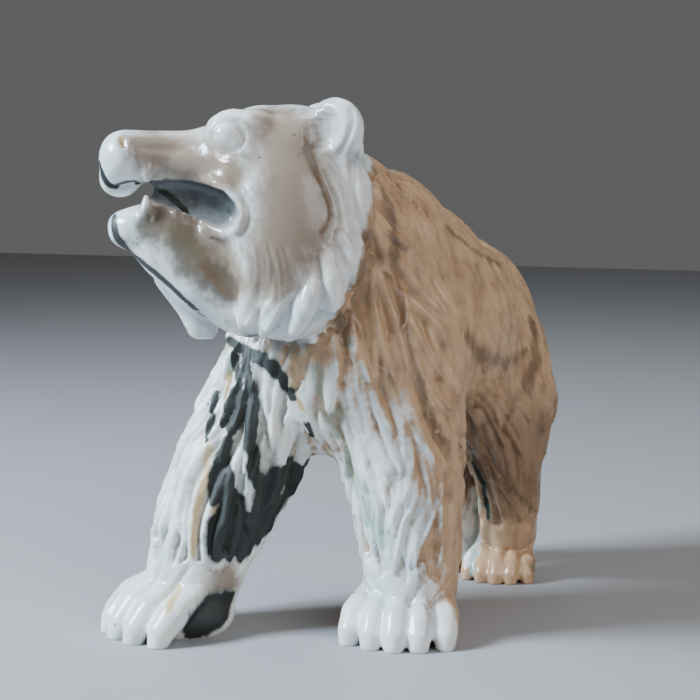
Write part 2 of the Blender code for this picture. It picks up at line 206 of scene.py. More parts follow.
skull_form = bmesh.new()
ball(skull_form, (-1, 0, 1), (13.5, 13, 11.8), frame=HEAD)
ball(skull_form, (5, 0, 4.6), (9.8, 9.5, 7.2), frame=HEAD)
for side in (1, -1):
    ball(skull_form, (9.4, 5.0 * side, 6.6), (5.4, 4.8, 5.3), turn=(0, -20, 0), frame=HEAD)
    ball(skull_form, (6.5, 7.2 * side, 1.0), (6.5, 4.4, 7.0), frame=HEAD)
    ball(skull_form, (-1, 8 * side, -8), (12.5, 8.5, 16.5), turn=(8 * side, 0, 0), frame=HEAD)
    ball(skull_form, (8, 6.5 * side, -5), (8, 5, 8.5), frame=HEAD)
    ball(skull_form, (-3.5, 7.5 * side, 6.5), (5, 4.5, 4.6), frame=HEAD)

MUZZLE = [(4, 0, 4.5, 8.2), (12, 0, 3.0, 6.4), (18, 0, 3.6, 4.5), (24, 0, 3.5, 4.6), (27.8, 0, 3.4, 4.9)]
JAW = [(28.9, 0, -8.6, 2.9), (25.6, 0, -9.3, 4.6), (20, 0, -12.4, 6.6), (13.5, 0, -16.5, 8.4),
       (6, 0, -18.5, 10.4), (0, 0, -17, 12.5)]
limb(skull_form, MUZZLE, frame=HEAD)
limb(skull_form, JAW, frame=HEAD)
ball(skull_form, (28.6, 0, 3.2), (4.4, 5.4, 5.1), frame=HEAD)
ball(skull_form, (29.2, -2.0, -0.4), (4.0, 3.4, 3.7), frame=HEAD)
ball(skull_form, (15, 0, -4), (9, 5.4, 5.5), frame=HEAD)
ball(skull_form, (27.0, 0, -9.0), (4.8, 4.6, 3.6), turn=(0, 30, 0), frame=HEAD)
skull = fused("skull", skull_form, FINE_VOXEL, 44)
print("skull", len(skull.vertices), "vertices")

# %% [markdown]
# ## The open mouth
#
# The carver sawed the mouth open at the front and hollowed a pocket behind it on each side, so the
# stone between the pockets reads as the tongue. Flat outlines of those cuts are pulled across the
# head and taken away with Boolean modifiers. The near lip is higher than the far one at the nose.

# %% Cut the mouth
POCKET = [(23.6, -0.5), (20, 0.0), (15.4, -1.2), (11.6, -2.5), (9.7, -4.5), (9.0, -6.4), (9.9, -8.4),
          (11.9, -9.0), (16.1, -7.4), (19.3, -6.1), (22.5, -4.5), (24.2, -3.2)]
NEAR_FRONT = [(38, -2.4), (31, -1.9), (29, -1.6), (26.7, -0.9), (24.7, -1.6), (22, -1.6), (22, -3.4),
              (24.6, -3.4), (26, -4.9), (29.6, -6.1), (38, -6.6)]
FAR_FRONT = [(38, -3.6), (33, -3.4), (30.6, -4.1), (27.3, -3.6), (26.2, -3.2), (25.6, -4.4), (26, -4.9),
             (29.6, -6.1), (38, -6.6)]
FRONT_POCKET = [(25.6, -1.1), (22.0, -0.7), (18.0, -0.9), (15.0, -1.8), (14.6, -6.4), (18.4, -5.8),
                (21.6, -4.6), (23.8, -3.6), (25.6, -3.2)]


def slab(name, outline, near, far, lean=0.0):
    """A cutter pulled through an outline of the head, from one distance off its middle to another.

    Its faces may lean, by so much for each unit further forward than the corner of the mouth."""
    form = bmesh.new()
    face = form.faces.new([form.verts.new(HEAD @ at(f, near + lean * (f - 15), u)) for f, u in outline])
    pulled = bmesh.ops.extrude_face_region(form, geom=[face])
    corners = [v for v in pulled["geom"] if isinstance(v, bmesh.types.BMVert)]
    bmesh.ops.translate(form, verts=corners, vec=HEAD.to_3x3() @ at(0, far - near, 0))
    bmesh.ops.recalc_face_normals(form, faces=form.faces)
    return placed(name, mesh_of(form, name))


def cut(mesh, cutters):
    """The mesh with every cutter taken out of it."""
    block = placed("block", mesh)
    for cutter in cutters:
        modifier = block.modifiers.new("cut", "BOOLEAN")
        modifier.operation = "DIFFERENCE"
        modifier.object = cutter
    made = finished(block)
    for cutter in cutters:
        bpy.data.objects.remove(cutter)
    return made


skull_skin_whole = BVHTree.FromPolygons([v.co for v in skull.vertices], [p.vertices for p in skull.polygons])
skull = cut(skull, [slab("left_pocket", POCKET, 2.4, 15), slab("right_pocket", POCKET, -15, -2.4),
                    slab("left_throat", FRONT_POCKET, 2.3, 15, -0.13),
                    slab("right_throat", FRONT_POCKET, -15, -2.3, 0.13),
                    slab("near_front", NEAR_FRONT, 0, 12), slab("far_front", FAR_FRONT, -12, 0.2)])
print("skull with its mouth open", len(skull.vertices), "vertices")

# %% [markdown]
# ## Ears, eyes, lips and ruff
#
# Small raised forms are added to the cut head and fused again, so that they grow out of it without
# a seam. The lips are a thin limb laid on the skin: rays shot from the side find where the skin is.
# The ruff is a fringe of pointed locks that hang behind and below each cheek. Two canine teeth stand
# at the front of the mouth, and a row of small ones along the lower lip.

# %% Add the face's raised forms
LIP = [(15.2, -0.6), (13.0, -1.2), (10.8, -2.6), (9.2, -4.6), (8.7, -6.8), (9.4, -9.0), (11.4, -10.2),
       (13.8, -10.0)]
RUFF = [[(-9.0, 10.4, 4, 2.4), (-11.2, 10.2, -2, 3.0), (-12.3, 9.8, -8, 2.6), (-13.0, 9.4, -11.6, 1.3)],
        [(-8.0, 12.2, -8, 2.6), (-9.8, 12.6, -13, 3.0), (-10.6, 11.8, -16.4, 2.3), (-10.4, 10.8, -19.2, 1.2)],
        [(-5.6, 13.4, -12, 2.8), (-6.4, 13.8, -17, 3.2), (-6.8, 12.8, -21, 2.4), (-6.7, 11.6, -23.8, 1.2)],
        [(-3.4, 13.6, -18, 2.8), (-2.0, 13.4, -22, 3.0), (-0.6, 12.4, -25.4, 2.2), (0.6, 11.6, -27.6, 1.3)],
        [(2.0, 12.6, -18, 2.8), (3.0, 12.4, -22, 2.8), (4.2, 11.4, -25.2, 2.0), (5.0, 10.6, -27.0, 1.2)],
        [(6.4, 11.0, -18, 2.4), (7.2, 10.6, -22, 2.5), (8.0, 9.8, -24.4, 1.8), (8.6, 9.0, -26.0, 1.0)]]
EYE = (10.7, 8.3, 6.8)
CANINES = [[(24.8, 3.6, -6.6, 1.3), (24.7, 3.7, -4.6, 1.0), (24.6, 3.7, -3.0, 0.55)],
           [(24.6, 4.0, 0.8, 1.3), (24.5, 4.2, -0.4, 0.9), (24.5, 4.2, -1.3, 0.6)]]
SMALL_TEETH = [(19.6, -5.9), (18.0, -6.5), (16.4, -7.1), (14.8, -7.7), (13.2, -8.3)]


def tree_of(mesh):
    """A mesh as a search tree, for following its surface."""
    return BVHTree.FromPolygons([v.co for v in mesh.vertices], [p.vertices for p in mesh.polygons])


def on_cheek(tree, f, u, side):
    """Where a ray from the head's side meets the skin, at a place given as forward and up."""
    spot = tree.ray_cast(HEAD @ at(f, 30 * side, u), HEAD.to_3x3() @ Vector((0, -side, 0)))[0]
    return spot if spot is not None else tree.find_nearest(HEAD @ at(f, 10 * side, u))[0]


def rim(form, tree, line, side, radius):
    """A raised rim on the head's skin, along a line of forward and up, fading out at its ends."""
    stations = []
    for k, (f, u) in enumerate(line):
        x, y, z = HEAD.inverted() @ on_cheek(tree, f, u, side) / UNIT
        swell = radius * math.sin(math.pi * (k + 0.7) / (len(line) + 0.4)) ** 0.5
        stations.append((x, y, z, swell))
    limb(form, stations, frame=HEAD)


def mirrored(stations, side):
    """The same stations on the given side of the head."""
    return [(f, s * side, u, r) for f, s, u, r in stations]


face_form = bmesh.new()
face_form.from_mesh(skull)
skull_skin = tree_of(skull)
for side in (1, -1):
    ball(face_form, (-7.6, 10.4 * side, 8.0), (2.9, 5.8, 5.6), turn=(0, 0, 50 * side), frame=HEAD)
    ball(face_form, (-9.0, 10.2 * side, 4.4), (2.3, 4.2, 4.6), turn=(0, 0, 50 * side), frame=HEAD)
    limb(face_form, mirrored([(21, 2.2, 2.8, 2.2), (15, 3.0, 2.8, 3.7), (9, 4.4, 2.4, 5.6)], side), frame=HEAD)
    ball(face_form, (5.6, 5.4 * side, 6.6), (5.6, 4.8, 5.2), frame=HEAD)
    ball(face_form, (EYE[0], EYE[1] * side, EYE[2]), (2.5, 1.6, 2.5), frame=HEAD)
    rim(face_form, skull_skin, LIP, side, 1.1)
    for stations in RUFF + CANINES:
        limb(face_form, mirrored(stations, side), frame=HEAD)
    for f, u in SMALL_TEETH:
        ball(face_form, (f, 4.9 * side, u), (0.55, 0.6, 0.75), frame=HEAD)
limb(face_form, [(20, -3.4, -17.5, 3.6), (16.6, -4.6, -23.6, 2.7), (15.2, -4.8, -27.2, 2.4)], frame=HEAD)
ball(face_form, (13.6, -4.2, -27.6), (1.8, 1.9, 1.9), frame=HEAD)

dishes = []
for side in (1, -1):
    hollow = bmesh.new()
    ball(hollow, (-5.3, 13.3 * side, 8.2), (2.4, 3.8, 4.5), turn=(0, 0, 50 * side), frame=HEAD)
    dishes.append(placed("dish", mesh_of(hollow, "dish")))
head = cut(fused("head", face_form, FINE_VOXEL, 6), dishes)
print("head", len(head.vertices), "vertices")

# %% [markdown]
# ## Paws, and the whole bear
#
# Each paw is a low pad with five toes fanned in front of it. Once they are in place, a last fine
# remesh makes trunk, head and paws one skin, which is what the stone is. The pockets of the mouth
# are cut once more afterwards, because the smoothing has rounded the lips that a saw leaves crisp.

# %% Fuse the whole
PAWS = [((12.6, 8.5), 18, 1.0), ((-27.8, -8.8), -28, 1.1), ((7.2, 63.5), 14, 0.72), ((-9.8, 67.5), -8, 0.76)]


def toe(k):
    """One of five toes in a paw's own frame: knuckle, middle and blunt claw."""
    side = k - 2
    x = side * 4.3
    front = -11.0 + 0.8 * side * side
    return [(x * 0.82, front + 8.4, 8.4 - 0.5 * abs(side), 2.5), (x * 0.98, front + 3.8, 5.6 - 0.2 * abs(side), 2.7),
            (x * 1.04, front + 0.9, 2.4, 2.3), (x * 1.05, front + 0.3, 0.6, 1.9)]


def paw_frame(place, turn, size):
    """A paw's own frame, on the ground where it stands."""
    return Matrix.Translation(at(*place, 0)) @ turned(0, 0, turn) @ Matrix.Scale(size, 4)


whole_form = bmesh.new()
whole_form.from_mesh(trunk)
whole_form.from_mesh(head)
for paw in PAWS:
    ball(whole_form, (0, 1.4, 3.4), (9.6, 9.4, 6.2), frame=paw_frame(*paw))
    for k in range(5):
        limb(whole_form, toe(k), frame=paw_frame(*paw))
whole = fused("whole", whole_form, FINE_VOXEL, 4)
whole = cut(whole, [slab("left_lip", POCKET, 5.0, 15), slab("right_lip", POCKET, -15, -5.0),
                    slab("left_gum", FRONT_POCKET, 3.4, 15), slab("right_gum", FRONT_POCKET, -15, -3.4)])
print("whole", len(whole.vertices), "vertices")

# %% [markdown]
# ## The lie of the coat
#
# Fur runs down the legs, back over the hump and the rump, and down and back over the flanks. A few
# guides say so at chosen places, and anywhere else the nearest guides decide. A slow wave is added,
# the same for neighbouring locks, so the tufts swing together in an S as they do on the carving.

# %% Directions of the fur
LOCK_WAVE = 26.0
LIE = [((0, -16, 60), (0.0, -0.15, -1)), ((0, -10, 40), (0.0, 0.1, -1)),
       ((19, 8, 62), (0.1, 0.2, -1)), ((-19, 8, 62), (-0.1, 0.2, -1)),
       ((14, 4, 86), (0.45, 0.35, -0.8)), ((-14, 4, 86), (-0.45, 0.35, -0.8)),
       ((0, 20, 90), (0.0, 1, -0.1)), ((10, 26, 84), (0.5, 0.6, -0.6)), ((-10, 26, 84), (-0.5, 0.6, -0.6)),
       ((19, 30, 60), (0.0, 0.3, -1)), ((-19, 30, 60), (0.0, 0.3, -1)),
       ((0, 55, 76), (0.0, 1, -0.3)), ((18, 58, 55), (0.0, 0.35, -1)), ((-18, 58, 55), (0.0, 0.35, -1)),
       ((0, 82, 52), (0.0, 0.1, -1)), ((0, 35, 34), (0.0, 1, -0.1)), ((0, 55, 32), (0.0, 1, -0.3)),
       ((12, 11, 25), (0.05, 0.0, -1)), ((-22, -1, 25), (-0.3, -0.3, -1)),
       ((10, 62, 25), (0.0, 0.25, -1)), ((-8, 60, 25), (0.0, 0.25, -1))]
GUIDES = [(at(*place), Vector(way).normalized()) for place, way in LIE]


def lie(spot):
    """The way the fur runs near a spot: the nearest guides count most."""
    way = Vector((0, 0, 0))
    for place, heading in GUIDES:
        gap = (spot - place).length / UNIT
        way += heading / (gap + 3) ** 3
    return way


def wave(spot, spread):
    """A slow, even unrest of the coat, between -1 and 1, the same for neighbouring locks."""
    x, y, z = (c / UNIT / spread for c in spot)
    return math.sin(x * 1.7 + 2.1 * math.sin(z * 0.9 + y)) * math.cos(y * 1.3 + 1.7 * math.sin(x + z * 0.7))


def lock_path(tree, root, length, swing, heading=lie, steps=8):
    """The line of a lock over the skin, from its root along the lie of the coat, with an S in it."""
    spot, normal, _, _ = tree.find_nearest(root)
    path = [spot]
    for k in range(steps):
        way = heading(spot)
        way = way - normal * way.dot(normal)
        way.normalize()
        bend = LOCK_WAVE * wave(spot, 11) + swing * math.cos(math.pi * 1.3 * k / steps)
        way.rotate(Quaternion(normal, math.radians(bend)))
        spot, normal, _, _ = tree.find_nearest(spot + way * (length * UNIT / steps))
        path.append(spot)
    return path


print("guides for the lie of the coat:", len(GUIDES))

# %% [markdown]
# ## Strokes
#
# A stroke is a path over the skin with a width and a height. It lifts the skin in a rounded ridge
# that starts low, widens, and ends in a point, like one pull of the burr on each side of a lock.
# Where strokes overlap the higher one wins, so each tip lies over the roots of the next, as shingles
# do. Sculpt brushes would need a hand; this does the same with a search tree and numpy.

# %% Carve strokes into a mesh
def arrays_of(mesh):
    """The mesh's points and their normals."""
    count = len(mesh.vertices)
    spots = np.empty(count * 3)
    mesh.vertices.foreach_get("co", spots)
    normals = np.empty(count * 3, dtype=np.float32)
    mesh.vertex_normals.foreach_get("vector", normals)
    return spots.reshape(count, 3), normals.reshape(count, 3).astype(float)


def point_tree(spots):
    """Points as a search tree."""
    tree = KDTree(len(spots))
    for index, spot in enumerate(spots):
        tree.insert(spot, index)
    tree.balance()
    return tree


def beside(spots, tree, path, reach):
    """The points near a path: which they are, how far from it, and how far along it from 0 to 1."""
    middle = path[len(path) // 2]
    span = max((p - middle).length for p in path) + reach * UNIT
    near = np.array([index for _, index, _ in tree.find_range(middle, span)], dtype=int)
    if not len(near):
        return near, near, near
    line = np.array(path)
    run = line[1:] - line[:-1]
    off = spots[near][:, None, :] - line[None, :-1, :]
    share = np.clip((off * run).sum(2) / np.maximum((run ** 2).sum(1), 1e-12), 0, 1)
    gap = np.linalg.norm(off - share[:, :, None] * run, axis=2)
    best = gap.argmin(1)
    rows = np.arange(len(near))
    return near, gap[rows, best] / UNIT, (best + share[rows, best]) / len(run)


def ridges(spots, tree, strokes):
    """How far the strokes lift each point, and which points they reach."""
    lift = np.zeros(len(spots))
    furred = np.zeros(len(spots), dtype=bool)
    for path, width, height in strokes:
        near, gap, along = beside(spots, tree, path, width)
        if not len(near):
            continue
        leaf = 2.0 * (along + 0.04) ** 0.45 * (1.001 - along) ** 0.75
        across = gap / (width * leaf)
        crest = (0.3 + 0.7 * along ** 0.8) * np.minimum(1, (1 - along) * 5)
        rise = height * crest * np.maximum(0, 1 - across ** 2)
        lift[near] = np.maximum(lift[near], rise)
        furred[near[across < 1.3]] = True
    return lift, furred


def grooves(spots, tree, lines):
    """How deep the lines cut each point: each a path, a half width and a depth."""
    depth = np.zeros(len(spots))
    for path, width, deep in lines:
        near, gap, along = beside(spots, tree, path, width * 2.5)
        if not len(near):
            continue
        fade = np.sin(np.pi * np.clip(along * 0.94 + 0.03, 0, 1)) ** 0.5
        depth[near] = np.maximum(depth[near], deep * fade * np.exp(-(gap / width) ** 2))
    return depth


def moved(mesh, spots, normals, lift):
    """Moves each point along its normal."""
    mesh.vertices.foreach_set("co", (spots + normals * (lift * UNIT)[:, None]).ravel())
    mesh.update()


# %% [markdown]
# ## Where locks take root
#
# Roots are set out in rings round the spine and round each leg, staggered from ring to ring, with a
# seeded jitter so that no two locks are alike. Rays from the middle line find the skin. The head and
# the paws stay bare: the head gets finer work later.

# %% Roots in rings, and the coat
FUR_END = 11.0
SPINE = [(0, -12, 76, 20), (0, 4, 66, 20), (0, 24, 62, 20), (0, 60, 54, 19), (0, 70, 53, 14)]
RUMP = [(0, 60, 76, 16), (0, 62, 40, 18)]


def roots_round(tree, line, step, pitch, chance, facing=None):
    """Places on the skin, in rings round a line of stations and staggered from ring to ring."""
    roots = []
    ring = 0
    for (*a, ra), (*b, rb) in zip(line, line[1:]):
        start, end = at(*a), at(*b)
        rings = max(1, round((end - start).length / UNIT / step))
        across = (end - start).orthogonal().normalized()
        for j in range(rings):
            share = (j + chance.uniform(-0.2, 0.2)) / rings
            centre = start.lerp(end, share)
            count = max(6, round(2 * math.pi * (ra + (rb - ra) * share) / pitch))
            for k in range(count):
                turn = 2 * math.pi * (k + 0.5 * (ring % 2) + chance.uniform(-0.22, 0.22)) / count
                aim = across.copy()
                aim.rotate(Quaternion(end - start, turn))
                if facing is not None and aim.dot(facing) < 0.45:
                    continue
                slip = (end - start).normalized() * chance.uniform(-0.3, 0.3) * step * UNIT
                spot = tree.ray_cast(centre, aim)[0]
                if spot is not None:
                    roots.append(spot + slip)
            ring += 1
    return roots


def coat(tree, bare, chance, step, pitch, length, width, relief, swing):
    """Strokes for the body and legs, with a step from ring to ring and a pitch round each ring."""
    places = [(roots_round(tree, SPINE, step, pitch, chance), 1.0),
              (roots_round(tree, RUMP, step, pitch, chance, Vector((0, 1, 0))), 1.0)]
    places += [(roots_round(tree, leg[:-1], 0.84 * step, 0.87 * pitch, chance), 0.9) for leg in LEGS]
    strokes = []
    for roots, size in places:
        for root in roots:
            long, wide = (size * chance.uniform(0.8, 1.2) for _ in range(2))
            path = lock_path(tree, root, length * long, chance.uniform(-swing, swing))
            path = [p for p in path if p.z > FUR_END * UNIT and bare.find_nearest(p)[3] > 1.2 * UNIT]
            if len(path) > 3:
                strokes.append((path, width / 2 * wide, relief * size))
    return strokes


def shallower(spots):
    """How much of the relief each place keeps: all on the chest and legs, less on flank and back."""
    back = np.clip((spots[:, 1] / UNIT - 12) / 12, 0, 1) * np.clip((spots[:, 2] / UNIT - 36) / 10, 0, 1)
    ankle = np.clip((spots[:, 2] / UNIT - FUR_END + 2) / 9, 0, 1)
    return (1 - 0.68 * back) * ankle


skin = tree_of(whole)
bare = tree_of(head)
big_locks = coat(skin, bare, random.Random(7), 6.0, 4.7, 13.0, 4.4, 1.5, 30)
fine_locks = coat(skin, bare, random.Random(11), 8.0, 3.3, 22.0, 3.3, 2.3, 18)
print("big locks", len(big_locks), "fine locks", len(fine_locks))

# %% [markdown]
# ## Drawing on the head
#
# The face gets its finest work last, as a carver does it: lines cut with a thin burr and a few raised
# edges. Each line is drawn in the head's own frame as forward and up, its corners are rounded, and
# rays lay it on the skin. Both sides of the head get the same lines.

# %% Lines of the face
RING = [(EYE[0] + 2.7 * math.cos(a * math.pi / 12), EYE[2] + 2.7 * math.sin(a * math.pi / 12))
        for a in range(25)]
CUTS = [(RING, 0.4, 0.5),
        ([(13.9, 5.6), (12.6, 3.9), (10.6, 3.3), (8.4, 3.6), (6.2, 2.4)], 0.5, 0.4),
        ([(14.6, 8.4), (12.4, 10.6), (9.6, 11.0), (6.4, 9.6), (4.4, 7.4)], 0.7, 0.3),
        ([(28.9, 6.7), (28.7, 5.8), (28.2, 4.9)], 0.6, 1.0),
        ([(27.4, 5.8), (26.6, 4.2), (26.8, 2.0), (26.6, 0.2)], 0.9, 0.45),
        ([(26.6, 4.9), (20.4, 4.7), (14.6, 4.2)], 0.7, 0.3),
        ([(32.4, 1.2), (32.0, -0.3), (31.0, -1.9), (29.2, -2.1), (27.4, -1.3), (25.6, -1.5)], 0.5, 0.7),
        ([(10.6, -0.4), (8.4, -3.0), (7.4, -6.2), (8.2, -9.4), (10.2, -11.2)], 0.5, 0.5),
        ([(-2.6, 6.0), (-4.6, 1.6), (-6.4, -2.6), (-7.6, -6.2), (-6.8, -9.6), (-4.6, -13.4)], 1.0, 0.75),
        ([(-10.4, 3.2), (-10.6, -2.4), (-11.0, -7.0), (-10.6, -10.6)], 0.6, 0.6),
        ([(-6.0, -10.0), (-8.4, -13.6), (-8.8, -17.6), (-8.6, -21.0)], 0.6, 0.8),
        ([(-3.6, -13.4), (-4.6, -18.0), (-4.4, -22.6), (-3.6, -25.6)], 0.6, 0.8),
        ([(-1.6, -18.0), (0.8, -21.6), (2.4, -24.6), (3.0, -26.6)], 0.6, 0.7),
        ([(4.0, -19.0), (5.4, -22.4), (6.6, -24.6)], 0.5, 0.6),
        ([(-10.0, 11.6), (-10.1, 9.0), (-9.1, 6.0), (-7.8, 3.3)], 0.5, 0.5),
        ([(30.2, -8.6), (26.0, -12.6), (21.0, -17.4), (15.0, -23.0)], 0.5, 0.35)]
EDGES = [([(14.0, 7.4), (12.6, 9.3), (10.8, 10.2), (8.8, 9.8), (7.0, 8.2)], 1.0, 0.7),
         ([(-9.0, 2.4), (-11.4, -2.6), (-12.4, -7.2), (-13.0, -11.2)], 1.6, 0.9),
         ([(-7.6, -9.4), (-9.8, -13.6), (-10.4, -16.6), (-10.3, -19.0)], 1.5, 1.1),
         ([(-5.2, -12.0), (-6.5, -17.0), (-6.9, -21.0), (-6.8, -23.6)], 2.0, 1.1),
         ([(-3.8, -18.2), (-2.2, -22.2), (-0.6, -25.4), (0.4, -27.4)], 2.3, 1.1),
         ([(1.6, -21.6), (3.2, -24.2), (4.8, -26.8)], 1.2, 0.8),
         ([(4.8, -21.6), (6.6, -24.0), (8.2, -25.8)], 1.1, 0.8)]


def softened(line):
    """A broken line with its corners cut twice, which rounds it."""
    for _ in range(2):
        cut_line = [line[0]]
        for a, b in zip(line, line[1:]):
            cut_line += [a.lerp(b, 0.25), a.lerp(b, 0.75)]
        line = cut_line + [line[-1]]
    return line


def drawn(tree, line, side):
    """A line of forward and up, rounded and laid on one side of the head."""
    return [on_cheek(tree, f, u, side) for f, u in softened([Vector(p) for p in line])]


def hair_lines(chance):
    """Fine scratches of short hair: over the lower cheek, and over the ear's dish."""
    lines = []
    for k in range(15):
        f = 11.5 - 0.95 * k + chance.uniform(-0.2, 0.2)
        u = -9.5 - 0.35 * k + chance.uniform(-1.5, 1.5)
        drop = chance.uniform(6, 9)
        lines.append(([(f, u), (f - 1.0, u - drop * 0.5), (f - 0.4 - 0.05 * k, u - drop)], 0.36, 0.28))
    for k in range(7):
        u = 12.2 - 1.1 * k
        lines.append(([(-2.6 - 0.3 * k, u - 0.6), (-5.0 - 0.2 * k, u - 0.4), (-7.2, u - 1.2)], 0.4, 0.35))
    return lines


face_cuts, face_edges = [], []
for side in (1, -1):
    face_cuts += [(drawn(skin, line, side), width, depth) for line, width, depth in CUTS]
    face_cuts += [(drawn(skin, line, side), width, depth) for line, width, depth in hair_lines(random.Random(3))]
    face_edges += [(drawn(skin, line, side), width, height) for line, width, height in EDGES]
for paw in PAWS:
    for k in range(4):
        x = (k - 1.5) * 4.1
        line = [Vector((x * share, y, z)) for share, y, z in ((1.0, -6.5, 6.0), (0.9, -2.0, 9.0), (0.8, 1.5, 12.5))]
        foot = paw_frame(*paw)
        face_cuts.append(([skin.find_nearest(foot @ (p * UNIT))[0] for p in softened(line)], 0.5, 0.6))
print("cuts", len(face_cuts), "raised edges", len(face_edges))

# %% Carve the coat and the face
spots, normals = arrays_of(whole)
tree = point_tree(spots)
big, furred = ridges(spots, tree, big_locks)
fine, _ = ridges(spots, tree, fine_locks)
keep = shallower(spots)
lift = np.where(furred, (0.35 * big + fine - 1.45) * keep, 0)
raised, _ = ridges(spots, tree, face_edges)
lift += raised - grooves(spots, tree, face_cuts)
moved(whole, spots, normals, lift)
print("relief in units", round(float(lift.min()), 2), "to", round(float(lift.max()), 2))

# %% [markdown]
# ## Thin, level and centre
#
# A mesh this even spends as many faces on the smooth cheek as on the fur. Collapsing edges where the
# skin is flat keeps the detail at a quarter of the faces. The soles are then cut level, and the
# carving is moved so that the middle of its footing is the origin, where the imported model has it.

# %% Thin and level the carving
FACES = 196000

block = placed("block", whole)
soften = block.modifiers.new("soften", "SMOOTH")
soften.factor = 0.5
soften.iterations = 1
thin = block.modifiers.new("thin", "DECIMATE")
thin.ratio = min(1, FACES / (2 * len(whole.vertices)))
thinned = finished(block)

form = bmesh.new()
form.from_mesh(thinned)
bmesh.ops.bisect_plane(form, geom=form.verts[:] + form.edges[:] + form.faces[:], dist=1e-7,
                       plane_co=(0, 0, 0), plane_no=(0, 0, -1), clear_outer=True)
bmesh.ops.holes_fill(form, edges=[edge for edge in form.edges if edge.is_boundary], sides=0)
bmesh.ops.triangulate(form, faces=[face for face in form.faces if len(face.verts) > 4])
bmesh.ops.recalc_face_normals(form, faces=form.faces)
low, high = (Vector(pick(v.co[k] for v in form.verts) for k in range(3)) for pick in (min, max))
MOVE = Vector((-(low.x + high.x) / 2, -(low.y + high.y) / 2, -low.z))
bmesh.ops.translate(form, verts=form.verts, vec=MOVE)
bear = placed("bear_carving", mesh_of(form, "bear_carving"))
bear.data.shade_smooth()
print("carving", sum(len(p.vertices) - 2 for p in bear.data.polygons), "triangles, moved",
      [round(c * 1000, 2) for c in MOVE])

# %% [markdown]
# ## Camera
#
# The photograph was taken close, from a little above the bear's eye and to its left. The place and
# the focal length were found by fitting the outline of the body and the four paws. The camera is set
# up before the stone is coloured, because the stains and painted shadows are traced through it onto
# the carving.

# %% Camera
CAMERA_AT = (162.05, -270.6, 84.55)
CAMERA_TURN = 30.0
CAMERA_DIP = 5.5
SENSOR = 36.0
FOCAL_PX, PHOTO_PX = 1719.0, 700.0

camera = bpy.data.cameras.new("camera")
camera.sensor_width = SENSOR
camera.lens = SENSOR * FOCAL_PX / PHOTO_PX
camera.clip_start = 0.01
eye = placed("camera", camera)
eye.location = at(*CAMERA_AT) + MOVE
eye.rotation_euler = (math.radians(90 - CAMERA_DIP), 0, math.radians(CAMERA_TURN))
bpy.context.scene.camera = eye
print("focal length in mm", round(camera.lens, 1))
